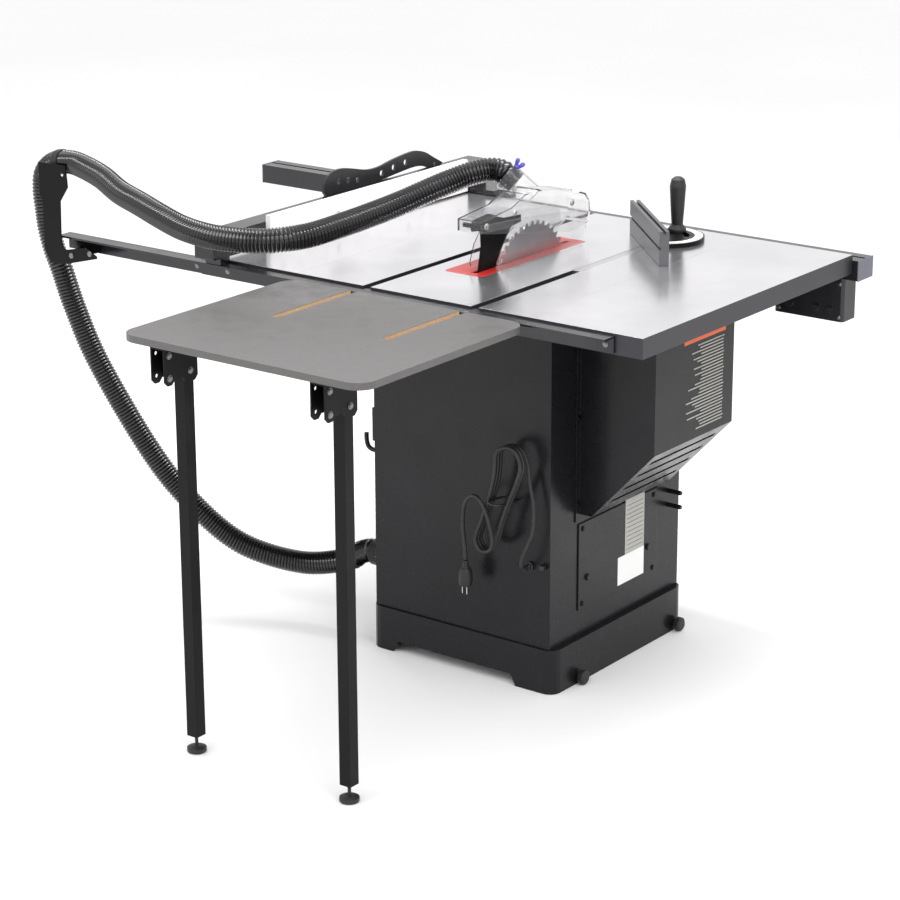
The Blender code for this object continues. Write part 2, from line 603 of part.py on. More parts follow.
def switch():
    housing = prism("switch_box", "z", rounded(18, 179, -832, -777, 6, 2), 688, RAIL_Z[0] - GAP, BLACK)
    cut(housing, rod("c_start", "y", (60, 735), 13, -840, -822))
    join(housing, box("j_stop_ear_a", 84, 90, -840, -825, 752, 760))
    join(housing, box("j_stop_ear_b", 164, 170, -840, -825, 752, 760))
    button = rod("start_button", "y", (60, 735), 12, -836, -826, GREEN, 20)
    pivot(button, (60, -830, 735))
    paddle = box("stop_paddle", 90.5, 163.5, -845, -836, 698, 760, RED)
    pivot(paddle, (127, -838, 757))
    for i, x in enumerate((50, 80, 140)):
        join(housing, rod(f"j_gland_{i}", "y", (x, 712), 7, -778, -770, sides=10))


def rip_fence():
    tube = box("fence_tube", 980, 1030, -860, 60, 846, 896, BLACK)
    cut(tube, box("c_fence_tube", 983, 1027, -861, 56, 849, 893))
    join(tube, box("j_glide", 985, 1025, 6, 34, 830.6, 847))
    face = box("fence_face", 968, 979.7, -775, -101, 838, 909, WHITE)
    head = box("fence_head", 900, 1110, -862, -779, 823, 845.7, BLACK)
    join(head, box("j_head_front", 900, 1110, -862, -838, 780, 824))
    join(head, box("j_head_lug_a", 975, 983, -884, -860, 798, 822))
    join(head, box("j_head_lug_b", 1027, 1035, -884, -860, 798, 822))
    cut(head, box("c_head_slot", 983.5, 1026.5, -885, -861.6, 790, 830))
    lever = rod("fence_lock_lever", "x", (-874, 810), 8, 984, 1026, BLACK, 16)
    grip = [(-880, 808), (-868, 808), (-880, 742), (-894, 722), (-900, 728), (-890, 745)]
    join(lever, prism("j_lever", "x", grip, 990, 1020))
    pivot(lever, (1005, -874, 810))
    return face


def push_stick():
    edge = [(-351, 902), (-354, 922), (-366, 937), (-388, 944), (-417, 944), (-453, 937), (-498, 927),
            (-538, 926), (-585, 933), (-633, 938), (-667, 939), (-701, 931), (-733, 914), (-766, 896),
            (-764, 889), (-732, 886), (-708, 896), (-687, 902), (-653, 904), (-584, 899), (-537, 895),
            (-498, 892), (-451, 888), (-400, 888), (-361, 889), (-351, 902)]
    edge = [tuple(p)[:2] for p in smooth_route([(y, z, 0) for y, z in edge], 12)][:-1]
    stick = prism("push_stick", "x", edge[::-1], 1031, 1037, BLACK)
    for i, (y, z, r) in enumerate(((-400, 919, 6.5), (-433, 916, 6.5), (-464, 911, 6), (-548, 911, 7),
                                   (-590, 916, 7), (-632, 920, 7), (-738, 899, 4.5))):
        cut(stick, rod(f"c_stick_{i}", "x", (y, z), r, 1025, 1040, sides=16))
    pivot(stick, (1034, -575, 900))


# ---- miter gauge


def miter_gauge():
    px, py = SLOT_X[0], -665.0
    bar = box("miter_bar", px - 9.2, px + 9.2, -745, -340, TOP - 9.2, TOP - GAP, STEEL)
    pivot(bar, (px, -665, TOP - 5))
    head = rod("miter_head", "z", (px, py), 80, TOP + GAP, TOP + 9, BLACK, 48)
    s = math.sqrt(0.5)
    far = [(px + (41.9 + d) * s + t * s, py + (41.9 + d) * s - t * s)
           for d, t in ((0, -200), (0, 200), (200, 200), (200, -200))]
    cut(head, prism("c_head_flat", "z", far, TOP - 5, TOP + 20))
    slot = []
    for radius, order in ((49, 1), (37, -1)):
        turns = [math.radians(195 + 98 * i / 20) for i in range(21)][::order]
        slot += [(px + radius * math.cos(t), py + radius * math.sin(t)) for t in turns]
    cut(head, prism("c_head_slot_arc", "z", slot, TOP - 5, TOP + 20))
    pivot(head, (px, py, TOP + 5))
    a = (468.0, -668.0)
    b = (265.0, -465.0)
    back = 20.0
    outline = [a, b, (b[0] - back * s, b[1] - back * s), (a[0] - back * s, a[1] - back * s)]
    bar2 = prism("miter_fence", "z", outline, TOP + 0.6, TOP + 70, BLACK)
    mid = ((a[0] + b[0]) / 2 - back * s / 2, (a[1] + b[1]) / 2 - back * s / 2)
    groove = []
    for t, d in ((-170, -3), (170, -3), (170, 3), (-170, 3)):
        groove.append((mid[0] + t * s + d * s, mid[1] - t * s + d * s))
    cut(bar2, prism("c_fence_groove", "z", groove, TOP + 63, TOP + 80))
    side = [(x + d * s, y + d * s) for x, y, d in ((a[0] + 9, a[1] - 9, -4), (b[0] - 9, b[1] + 9, -4),
                                                   (b[0] - 9, b[1] + 9, 5), (a[0] + 9, a[1] - 9, 5))]
    cut(bar2, prism("c_fence_side", "z", side, TOP + 33, TOP + 39))
    pivot(bar2, (px, py, TOP + 20))
    profile = [(TOP + 0.2, 4), (TOP + 9.4, 4), (TOP + 9.5, 19), (TOP + 15, 19), (TOP + 24, 12),
               (TOP + 60, 14.5), (TOP + 105, 17), (TOP + 119, 14), (TOP + 124, 7)]
    grip = turned("miter_grip", "z", (px, -708), profile, RUBBER, 20)
    pivot(grip, (px, -708, TOP + 60))


# ---- outfeed table


def outfeed():
    outline = rounded(227, 799, 38, 529, 38, 6)
    panel = prism("outfeed_panel", "z", outline, TOP - 14, TOP - 0.5, LAMINATE)
    for i, x in enumerate(SLOT_X):
        slot = rounded(x - 8.5, x + 8.5, 60, 277, 8.4, 5)
        tail = box(f"c_out_slot_{i}", x - 8.5, x + 8.5, 30, 200, TOP - 9.5, TOP + 1)
        cut(panel, prism(f"c_out_end_{i}", "z", slot, TOP - 9.5, TOP + 1), tail)
    for side, x in zip(("left", "right"), LEG_X):
        bracket = box(f"{side}_leg_bracket", x - 17, x + 17, 438, 527, 816.5, TOP - 14 - GAP, BLACK)
        for k, a in ((0, x - 17), (1, x + 14)):
            sheet = [(438, 817), (438, 752), (446, 744), (470, 744), (480, 756), (500, 756), (508, 748),
                     (519, 748), (527, 756), (527, 817)]
            wall = prism(f"j_{side}_wall_{k}", "x", sheet, a, a + 3)
            join(bracket, wall)
        for k, (y, z) in enumerate(((514, 762), (514, 805))):
            cut(bracket, rod(f"c_{side}_hole_{k}", "x", (y, z), 4, x - 20, x + 20, sides=16))
        join(bracket, rod(f"j_{side}_pin", "x", (LEG_Y, LEG_PIN_Z), 4, x - 19.5, x + 19.5, sides=16))
        leg = box(f"{side}_leg", x - 12.5, x + 12.5, LEG_Y - 12.5, LEG_Y + 12.5, 34, 800, BLACK)
        cut(leg, rod(f"c_{side}_pin", "x", (LEG_Y, LEG_PIN_Z), 4.3, x - 20, x + 20, sides=16))
        cut(leg, rod(f"c_{side}_stud", "z", (x, LEG_Y), 3.6, 20, 62, sides=12))
        pivot(leg, (x, LEG_Y, LEG_PIN_Z))
        profile = [(0, 17), (2, 19), (9, 19), (13, 10), (13.1, 3.3), (60, 3.3)]
        pad = turned(f"{side}_foot_pad", "z", (x, LEG_Y), profile, RUBBER, 20)
        pivot(pad, (x, LEG_Y, 10))


# ---- mains cord


def cord_route():
    """Out of the cabinet, three upright coils one in front of the other, then down to the plug."""
    y = -146
    points = [(365, -163, 265), (365, -150, 265.5), (364, -138, 271), (361, -131, 286), (353, -132, 310),
              (341, -140, 350), (342, y, 400), (352, y, 450), (358, y, 490)]
    for turn in range(3):
        y = -143 + 9.5 * turn
        points += [(372, y, 515), (395, y + 1, 519), (416, y + 2, 503), (420, y + 2.5, 460), (432, y + 3, 410),
                   (452, y + 3.5, 355), (466, y + 4, 315), (452, y + 5, 294), (428, y + 6, 300),
                   (412, y + 6.5, 345), (394, y + 7, 395), (372, y + 7.5, 445), (360, y + 8.5, 485)]
    points = points[:-4]
    points += [(420, -114, 330), (440, -113, 390), (466, -114, 408), (490, -118, 385), (498, -122, 340),
               (496, -126, 290), (496, -128, 262)]
    return points


def mains_cord():
    sweep("power_cord", smooth_route(cord_route(), 16), CORD_R, RUBBER, 6)
    plug = turned("cord_plug", "z", (496, -128), [(206, 12), (214, 14), (240, 13), (252, 8), (261.5, 6)], RUBBER, 14)
    for k, x in enumerate((-6, 5)):
        join(plug, box(f"j_prong_{k}", 496 + x, 497.5 + x, -131, -125, 190, 208))


table_tops()
throat_insert()
plinth()
cabinet()
lower_side_panel()
motor_cover()
mobility_wheels()
trunnion("front_trunnion", -560, -546)
trunnion("rear_trunnion", -235, -221)
tilt_carriage()
arbor_bracket()
arbor_parts()
motor_parts()
height_drive()
tilt_drive()
splitter()
blade_guard()
dust_hose()
hose_hanger()
rails()
switch()
rip_fence()
push_stick()
miter_gauge()
outfeed()
mains_cord()
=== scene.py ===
"""Looks for the cabinet table saw: materials, ribbed hose, mains cord, small hardware, light and camera.

Plan points are in millimetres, as in the CAD source: x from the table's left edge, y from its outfeed
edge, z from the floor. P() turns them into the shared frame in metres.
"""

import math
import random

import bmesh
import bpy
from mathutils import Matrix, Vector


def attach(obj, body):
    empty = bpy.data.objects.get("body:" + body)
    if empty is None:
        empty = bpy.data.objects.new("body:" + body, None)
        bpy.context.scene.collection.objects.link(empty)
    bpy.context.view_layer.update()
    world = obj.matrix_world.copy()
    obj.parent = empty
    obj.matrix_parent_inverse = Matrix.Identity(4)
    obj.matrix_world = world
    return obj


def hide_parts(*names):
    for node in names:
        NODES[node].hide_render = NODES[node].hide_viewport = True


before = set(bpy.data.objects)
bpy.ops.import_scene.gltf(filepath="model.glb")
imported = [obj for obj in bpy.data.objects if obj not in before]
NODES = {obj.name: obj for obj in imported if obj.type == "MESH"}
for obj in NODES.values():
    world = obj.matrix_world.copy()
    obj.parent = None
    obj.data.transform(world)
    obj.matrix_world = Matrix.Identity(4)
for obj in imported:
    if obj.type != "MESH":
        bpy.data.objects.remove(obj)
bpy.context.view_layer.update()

X_MID = 777.5
Y_MID = -185.5
TOP = 834.0
BLADE_X = 529.0
SLOT_X = (377.0, 638.0)
SLOT_HALF = 0.0088
RNG = random.Random(7)


def P(x, y, z):
    """Plan point in mm to frame point in metres."""
    return Vector(((x - X_MID) / 1000, (y - Y_MID) / 1000, z / 1000))


# ---- materials


class Nodes:
    """Short-hand for building one material's node tree."""

    def __init__(self, name):
        self.material = bpy.data.materials.new(name)
        self.material.use_nodes = True
        self.tree = self.material.node_tree
        self.shader = self.tree.nodes["Principled BSDF"]
        self.place = self.add("ShaderNodeTexCoord").outputs["Object"]

    def add(self, kind, **settings):
        node = self.tree.nodes.new(kind)
        for key, value in settings.items():
            setattr(node, key, value)
        return node

    def link(self, a, b):
        self.tree.links.new(a, b)

    def scaled(self, scale):
        mapping = self.add("ShaderNodeMapping")
        mapping.inputs["Scale"].default_value = scale
        self.link(self.place, mapping.inputs["Vector"])
        return mapping.outputs["Vector"]

    def noise(self, scale, detail, stretch=(1, 1, 1)):
        node = self.add("ShaderNodeTexNoise")
        node.inputs["Scale"].default_value = scale
        node.inputs["Detail"].default_value = detail
        node.inputs["Roughness"].default_value = 0.55
        self.link(self.scaled(stretch), node.inputs["Vector"])
        return node.outputs["Fac"]

    def ramp(self, source, low, high, at=(0.35, 0.65)):
        node = self.add("ShaderNodeValToRGB")
        node.color_ramp.elements[0].position = at[0]
        node.color_ramp.elements[1].position = at[1]
        node.color_ramp.elements[0].color = (*low, 1) if isinstance(low, tuple) else (low, low, low, 1)
        node.color_ramp.elements[1].color = (*high, 1) if isinstance(high, tuple) else (high, high, high, 1)
        self.link(source, node.inputs["Fac"])
        return node.outputs["Color"]

    def math(self, operation, a, b=None):
        node = self.add("ShaderNodeMath", operation=operation)
        for socket, value in zip(node.inputs, (a, b)):
            if value is None:
                continue
            if isinstance(value, (int, float)):
                socket.default_value = value
            else:
                self.link(value, socket)
        return node.outputs[0]

    def mix(self, factor, a, b):
        node = self.add("ShaderNodeMix", data_type="RGBA")
        self.link(factor, node.inputs["Factor"])
        for socket, value in ((node.inputs[6], a), (node.inputs[7], b)):
            if isinstance(value, tuple):
                socket.default_value = (*value, 1)
            else:
                self.link(value, socket)
        return node.outputs[2]

    def bump(self, height, strength, distance):
        node = self.add("ShaderNodeBump")
        node.inputs["Strength"].default_value = strength
        node.inputs["Distance"].default_value = distance
        self.link(height, node.inputs["Height"])
        return node

    def finish(self, colour, rough, metallic=0.0, height=None, strength=0.1, distance=0.0005, edge=0.0008):
        self.link(colour, self.shader.inputs["Base Color"])
        self.link(rough, self.shader.inputs["Roughness"])
        if metallic is not None:
            self.shader.inputs["Metallic"].default_value = metallic
        soft = self.add("ShaderNodeBevel", samples=4)
        soft.inputs["Radius"].default_value = edge
        if height is None:
            self.link(soft.outputs["Normal"], self.shader.inputs["Normal"])
        else:
            made = self.bump(height, strength, distance)
            self.link(soft.outputs["Normal"], made.inputs["Normal"])
            self.link(made.outputs["Normal"], self.shader.inputs["Normal"])
        return self.material


def shade(colour, amount):
    """Colour made lighter or darker."""
    return tuple(max(0.0, c * amount) for c in colour)


def coated(name, colour, rough, grain, strength, spread=0.12, metallic=0.0, edge=0.0012, shine=0.5):
    """Paint or moulded plastic: fine texture, slight mottling and uneven gloss."""
    n = Nodes(name)
    broad = n.noise(6, 4)
    fine = n.noise(grain, 2)
    tint = n.ramp(broad, shade(colour, 1 - spread), shade(colour, 1 + spread))
    gloss = n.ramp(n.noise(14, 5), rough - 0.05, rough + 0.06)
    n.shader.inputs["Specular IOR Level"].default_value = shine
    return n.finish(tint, gloss, metallic, fine, strength, 0.0004, edge)


def machined(name, colour, rough, lines, metallic=1.0):
    """Ground or brushed metal: fine lines one way and faint stains."""
    n = Nodes(name)
    grain = n.noise(1.0, 2, lines)
    stain = n.noise(5, 5)
    tint = n.mix(n.ramp(stain, 0.0, 1.0), shade(colour, 0.92), shade(colour, 1.04))
    gloss = n.math("ADD", n.math("MULTIPLY", grain, 0.14), rough - 0.07)
    gloss = n.math("ADD", gloss, n.math("MULTIPLY", n.noise(9, 4), 0.08))
    return n.finish(tint, gloss, metallic, grain, 0.05, 0.0002, 0.0008)


def clear(name, colour, rough):
    """See-through plastic, a little hazy."""
    n = Nodes(name)
    haze = n.noise(30, 4)
    tint = n.ramp(haze, shade(colour, 0.94), colour)
    gloss = n.ramp(n.noise(60, 3), rough - 0.02, rough + 0.06)
    n.shader.inputs["Transmission Weight"].default_value = 0.97
    n.shader.inputs["IOR"].default_value = 1.27
    return n.finish(tint, gloss, 0.0, haze, 0.02, 0.0003, 0.0006)


def table_material():
    """Ground grey iron on top, dark casting on the edges, the ribs and in the slots."""
    n = Nodes("iron_ground")
    grain = n.noise(1.0, 2, (1400, 30, 1400))
    parts = n.add("ShaderNodeSeparateXYZ")
    n.link(n.place, parts.inputs[0])
    top = n.math("GREATER_THAN", parts.outputs[2], (TOP - 0.25) / 1000)
    stain = n.ramp(n.noise(5, 5), (0.69, 0.68, 0.70), (0.78, 0.765, 0.785))
    tint = n.mix(top, (0.018, 0.018, 0.024), stain)
    gloss = n.math("ADD", n.math("MULTIPLY", grain, 0.08), n.math("MULTIPLY", n.noise(9, 4), 0.12))
    gloss = n.math("ADD", gloss, n.math("SUBTRACT", 0.3, n.math("MULTIPLY", top, 0.2)))
    n.link(n.math("MULTIPLY", top, 0.92), n.shader.inputs["Metallic"])
    return n.finish(tint, gloss, None, grain, 0.04, 0.0002, 0.0012)


def panel_material():
    """Dark laminate, with bare board in the two routed slots."""
    n = Nodes("laminate_dark")
    speck = n.noise(420, 2)
    dark = n.ramp(speck, (0.072, 0.067, 0.067), (0.112, 0.105, 0.104), (0.3, 0.7))
    parts = n.add("ShaderNodeSeparateXYZ")
    n.link(n.place, parts.inputs[0])
    wanted = None
    for x in SLOT_X:
        away = n.math("ABSOLUTE", n.math("SUBTRACT", parts.outputs[0], P(x, 0, 0).x))
        near = n.math("LESS_THAN", away, SLOT_HALF)
        wanted = near if wanted is None else n.math("MAXIMUM", wanted, near)
    deep = n.math("MULTIPLY", n.math("LESS_THAN", parts.outputs[2], (TOP - 1.2) / 1000),
                  n.math("GREATER_THAN", parts.outputs[2], (TOP - 10) / 1000))
    inside = n.math("LESS_THAN", parts.outputs[1], P(0, 290, 0).y)
    mask = n.math("MULTIPLY", n.math("MULTIPLY", wanted, deep), inside)
    board = n.ramp(n.noise(300, 3), (0.42, 0.29, 0.17), (0.56, 0.41, 0.26))
    gloss = n.ramp(n.noise(25, 4), 0.3, 0.44)
    return n.finish(n.mix(mask, dark, board), gloss, 0.0, speck, 0.08, 0.0003, 0.002)


# Materials by short name; colours are linear
M = {
    "black": coated("paint_black", (0.004, 0.004, 0.0045), 0.32, 800, 0.06, shine=0.13),
    "rail": coated("paint_rail", (0.006, 0.006, 0.009), 0.2, 900, 0.03, shine=0.6),
    "charcoal": coated("paint_charcoal", (0.0085, 0.0087, 0.0102), 0.27, 700, 0.03, shine=0.24),
    "iron": table_material(),
    "anodised": machined("aluminium_black", (0.13, 0.13, 0.14), 0.3, (60, 60, 1200), 0.8),
    "bolt": machined("bolt_dark", (0.22, 0.22, 0.23), 0.3, (300, 300, 300)),
    "orange": coated("label_orange", (0.75, 0.12, 0.02), 0.5, 500, 0.02, 0.03),
    "paper": coated("label_pale", (0.40, 0.39, 0.36), 0.5, 500, 0.02, 0.05),
    "casting": coated("iron_cast", (0.14, 0.14, 0.145), 0.55, 350, 0.35, 0.2, 0.7),
    "steel": machined("steel_turned", (0.62, 0.62, 0.63), 0.26, (40, 900, 900)),
    "red": coated("plastic_red", (0.52, 0.022, 0.018), 0.34, 500, 0.06),
    "green": coated("plastic_green", (0.02, 0.30, 0.07), 0.3, 500, 0.05),
    "clear": clear("plastic_clear", (0.985, 0.985, 0.99), 0.03),
    "smoke": clear("plastic_smoke", (0.62, 0.65, 0.70), 0.09),
    "blue": coated("plastic_blue", (0.085, 0.075, 0.42), 0.36, 500, 0.05),
    "rubber": coated("rubber_black", (0.011, 0.011, 0.012), 0.5, 600, 0.15),
    "hose": coated("hose_black", (0.004, 0.004, 0.005), 0.16, 400, 0.02, 0.1, 0.0, 0.0004, 0.75),
    "plastic": coated("plastic_black", (0.013, 0.013, 0.016), 0.36, 900, 0.12),
    "white": coated("board_white", (0.80, 0.80, 0.79), 0.3, 300, 0.03, 0.02),
    "laminate": panel_material(),
    "dial": coated("dial_white", (0.78, 0.78, 0.77), 0.45, 400, 0.03, 0.02),
    "ink": coated("dial_ink", (0.02, 0.02, 0.02), 0.5, 400, 0.03),
    "cap": coated("plastic_grey", (0.115, 0.117, 0.145), 0.42, 700, 0.08),
    "shiny": machined("nickel", (0.72, 0.70, 0.66), 0.18, (300, 300, 300)),
}

# The CAD nodes that carry each material
COATS = {
    "charcoal": ("base_plinth", "cabinet_shell", "lower_side_panel", "motor_cover"),
    "rail": ("front_rail", "rear_rail", "fence_tube", "fence_head"),
    "black": ("motor", "splitter", "hose_hanger", "left_leg_bracket", "right_leg_bracket", "left_leg",
              "right_leg", "miter_head"),
    "iron": ("main_table", "left_wing", "right_wing"),
    "casting": ("front_trunnion", "rear_trunnion", "tilt_carriage", "arbor_bracket"),
    "steel": ("arbor_shaft", "arbor_pulley", "blade", "arbor_nut", "motor_pulley", "elevating_screw",
              "raise_shaft", "tilt_worm_shaft", "miter_bar"),
    "red": ("throat_insert", "stop_paddle"),
    "green": ("start_button",),
    "clear": ("guard_hood", "left_side_shield", "right_side_shield"),
    "blue": ("hood_hose_clamp", "port_hose_clamp"),
    "rubber": ("drive_belt", "left_foot_pad", "right_foot_pad", "rear_base_wheel", "front_base_wheel",
               "miter_grip", "power_cord", "cord_plug"),
    "hose": ("dust_hose",),
    "plastic": ("switch_box", "raise_handwheel", "raise_crank_grip", "tilt_handwheel", "tilt_crank_grip",
                "fence_lock_lever", "push_stick"),
    "anodised": ("miter_fence",),
    "white": ("fence_face",),
    "laminate": ("outfeed_panel",),
}
for coat, names in COATS.items():
    for name in names:
        mesh = NODES[name].data
        mesh.materials.clear()
        mesh.materials.append(M[coat])


# ---- shapes


def piece(name, shape, coat, body, smooth=None):
    """Object from a bmesh, riding on a body; `smooth` is the sharpest angle shaded smooth, in degrees."""
    mesh = bpy.data.meshes.new(name)
    bmesh.ops.recalc_face_normals(shape, faces=shape.faces)
    shape.to_mesh(mesh)
    shape.free()
    mesh.materials.append(M[coat])
    made = bpy.data.objects.new(name, mesh)
    bpy.context.scene.collection.objects.link(made)
    if smooth:
        for face in mesh.polygons:
            face.use_smooth = True
        mesh.set_sharp_from_angle(angle=math.radians(smooth))
    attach(made, body)
    return made


def frame_to(direction):
    """Turn that takes +Z to a direction."""
    z = Vector(direction).normalized()
    x = Vector((0, 0, 1)).cross(z)
    if x.length < 1e-4:
        x = Vector((1, 0, 0)).cross(z)
    x.normalize()
    y = z.cross(x)
    return Matrix((x, y, z)).transposed()


def add_turned(shape, at, direction, profile, sides):
    """Round solid on a frame point: profile lists (distance out, radius) in mm."""
    turn = frame_to(direction)
    rows = []
    for out, radius in profile:
        row = []
        for i in range(sides):
            angle = 2 * math.pi * i / sides
            local = Vector((radius * math.cos(angle), radius * math.sin(angle), out)) / 1000
            row.append(shape.verts.new(at + turn @ local))
        rows.append(row)
    for low, high in zip(rows, rows[1:]):
        for i in range(sides):
            j = (i + 1) % sides
            shape.faces.new((low[i], low[j], high[j], high[i]))
    shape.faces.new(rows[0][::-1])
    shape.faces.new(rows[-1])


def add_block(shape, x0, x1, y0, y1, z0, z1, soft):
    """Box between plan limits, its edges rounded by `soft` mm."""
    made = bmesh.ops.create_cube(shape, size=1.0)["verts"]
    low, high = P(x0, y0, z0), P(x1, y1, z1)
    for v in made:
        v.co = Vector([low[k] + (v.co[k] + 0.5) * (high[k] - low[k]) for k in range(3)])
    if soft:
        edges = {e for v in made for e in v.link_edges}
        bmesh.ops.bevel(shape, geom=list(edges), offset=soft / 1000, segments=2, affect="EDGES",
                        profile=0.5)


def smooth_route(points, step):
    """A Catmull-Rom curve through plan points, sampled about every `step` mm."""
    line = [Vector(p) for p in points]
    line = [2 * line[0] - line[1]] + line + [2 * line[-1] - line[-2]]
    route = []
    for i in range(1, len(line) - 2):
        a, b, c, d = line[i - 1:i + 3]
        count = max(1, round((c - b).length / step))
        for j in range(count):
            t = j / count
            route.append(0.5 * ((2 * b) + (c - a) * t + (2 * a - 5 * b + 4 * c - d) * t * t
                                + (3 * b - a - 3 * c + d) * t ** 3))
    route.append(line[-2])
    return route


def even_route(points, step):
    """The smooth route resampled at equal distances, as frame points in metres."""
    fine = [P(*p) for p in smooth_route(points, 4)]
    lengths = [0.0]
    for a, b in zip(fine, fine[1:]):
        lengths.append(lengths[-1] + (b - a).length)
    count = max(2, round(lengths[-1] / (step / 1000)))
    route = []
    k = 0
    for i in range(count + 1):
        want = lengths[-1] * i / count
        while k < len(fine) - 2 and lengths[k + 1] < want:
            k += 1
        share = (want - lengths[k]) / max(1e-9, lengths[k + 1] - lengths[k])
        route.append(fine[k].lerp(fine[k + 1], share))
    return route, lengths[-1]


def add_sweep(shape, route, radius, sides):
    """Round tube along frame points; radius in mm by index."""
    tangent = (route[1] - route[0]).normalized()
    side = tangent.orthogonal().normalized()
    rows = []
    for i, point in enumerate(route):
        ahead = (route[min(i + 1, len(route) - 1)] - route[max(i - 1, 0)]).normalized()
        turn = tangent.rotation_difference(ahead)
        tangent = ahead
        side = (turn @ side).normalized()
        other = tangent.cross(side)
        wide = radius(i) / 1000
        rows.append([shape.verts.new(point + wide * (math.cos(2 * math.pi * j / sides) * side
                                                     + math.sin(2 * math.pi * j / sides) * other))
                     for j in range(sides)])
    for low, high in zip(rows, rows[1:]):
        for i in range(sides):
            j = (i + 1) % sides
            shape.faces.new((low[i], low[j], high[j], high[i]))
    shape.faces.new(rows[0][::-1])
    shape.faces.new(rows[-1])


# ---- camera, light and floor

EYE = P(-2597.7, 4033.0, 2183.1)
LENS = 109.952
YAW = math.radians(36.965)
PITCH = math.radians(18.046)
ROLL = math.radians(-0.242)
FLOOR_Z = -0.0008


def camera():
    """The photograph's viewpoint: turned by YAW from -Y, looking down by PITCH."""
    ahead = Vector((math.sin(YAW) * math.cos(PITCH), -math.cos(YAW) * math.cos(PITCH), -math.sin(PITCH)))
    right = ahead.cross(Vector((0, 0, 1))).normalized()
    up = right.cross(ahead)
    c, s = math.cos(ROLL), math.sin(ROLL)
    right, up = c * right + s * up, -s * right + c * up
    data = bpy.data.cameras.new("camera")
    data.sensor_width = 36
    data.lens = LENS
    data.clip_end = 60
    made = bpy.data.objects.new("camera", data)
    made.matrix_world = Matrix.Translation(EYE) @ Matrix((right, up, -ahead)).transposed().to_4x4()
    bpy.context.scene.collection.objects.link(made)
    bpy.context.scene.camera = made


def light(name, place, aim, size, power):
    """White area light at a place, aimed at a point; size is (width, height) in metres."""
    data = bpy.data.lights.new(name, "AREA")
    data.shape = "RECTANGLE"
    data.size, data.size_y = size
    data.energy = power
    made = bpy.data.objects.new(name, data)
    made.location = place
    made.rotation_mode = "QUATERNION"
    made.rotation_quaternion = (Vector(aim) - Vector(place)).to_track_quat("-Z", "Y")
    bpy.context.scene.collection.objects.link(made)


def studio():
    """White surroundings, a pale floor just under the feet, and the lights."""
    scene = bpy.context.scene
    scene.view_settings.view_transform = "Standard"
    world = bpy.data.worlds.new("studio")
    scene.world = world
    world.use_nodes = True
    back = world.node_tree.nodes["Background"]
    back.inputs["Color"].default_value = (1, 1, 1, 1)
    back.inputs["Strength"].default_value = 1.0
    shape = bmesh.new()
    bmesh.ops.create_grid(shape, x_segments=1, y_segments=1, size=14)
    for v in shape.verts:
        v.co.z = FLOOR_Z
    mesh = bpy.data.meshes.new("floor")
    shape.to_mesh(mesh)
    shape.free()
    n = Nodes("floor_pale")
    tint = n.ramp(n.noise(0.8, 2), (0.93, 0.93, 0.93), (0.95, 0.95, 0.95))
    gloss = n.ramp(n.noise(3, 2), 0.8, 0.9)
    mesh.materials.append(n.finish(tint, gloss))
    floor = bpy.data.objects.new("floor", mesh)
    scene.collection.objects.link(floor)
    light("key", (-3.2, 1.6, 3.4), (0, 0, 0.6), (2.4, 2.0), 60)
    light("fill", (1.6, 4.2, 2.2), (0, 0.2, 0.4), (2.6, 1.8), 25)
    light("top", (0.2, -0.4, 3.6), (0.1, -0.1, 0.8), (3.0, 2.4), 45)
    light("strip_far", (0.3, -0.9, 2.9), (0.3, 0.2, 0.9), (3.2, 0.16), 34)
    light("strip_near", (-0.6, 2.6, 3.0), (0.2, 0.2, 0.8), (3.0, 0.16), 30)


camera()
studio()

# ---- dust hose

SPIGOT = Vector((BLADE_X - 12, -376, TOP + 126))
LEAN = Vector((0.72, 0.28, 0.63)).normalized()
HOSE_POINTS = [tuple(SPIGOT + d * LEAN) for d in (38, 56, 74)] + [
    (592, -341, 1010), (614, -311, 1005), (636, -278, 994), (658, -230, 980), (685, -168, 961),
    (707, -100, 947), (727, -30, 936), (749, 35, 927), (779, 90, 924), (830, 120, 921),
    (894, 135, 920), (943, 138, 922), (1001, 132, 927), (1065, 120, 938), (1137, 100, 949),
    (1215, 75, 958), (1293, 44, 973), (1369, 19, 981), (1415, 12, 984), (1462, 10, 975),
    (1493, 8, 948), (1499, 8, 909), (1495, 8, 868), (1491, 6, 826), (1480, 4, 784), (1465, 0, 742),
    (1442, -12, 656), (1396, -30, 538), (1302, -75, 353), (1225, -112, 244), (1118, -150, 159),
    (988, -195, 129), (880, -222, 150), (845, -225, 173), (818, -225, 184), (806, -225, 185),
    (784, -225, 185)]
# One rib's length, and the radius at each quarter of it
HOSE_PITCH = 7.2
HOSE_WAVE = (21.8, 23.8, 25.0, 23.8)


def dust_hose(port_clamp):
    """Ribbed hose from the guard over its hanger to the cabinet."""
    route, length = even_route(HOSE_POINTS, HOSE_PITCH / len(HOSE_WAVE))
    shape = bmesh.new()
    add_sweep(shape, route, lambda i: HOSE_WAVE[i % len(HOSE_WAVE)], 24)
    hose = piece("dust_hose_ribbed", shape, "hose", "stand", 60)
    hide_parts("dust_hose")
    print("hose length", round(length, 3))


# ---- mains cord

COILS = 3
BLADES = (-6, 5)


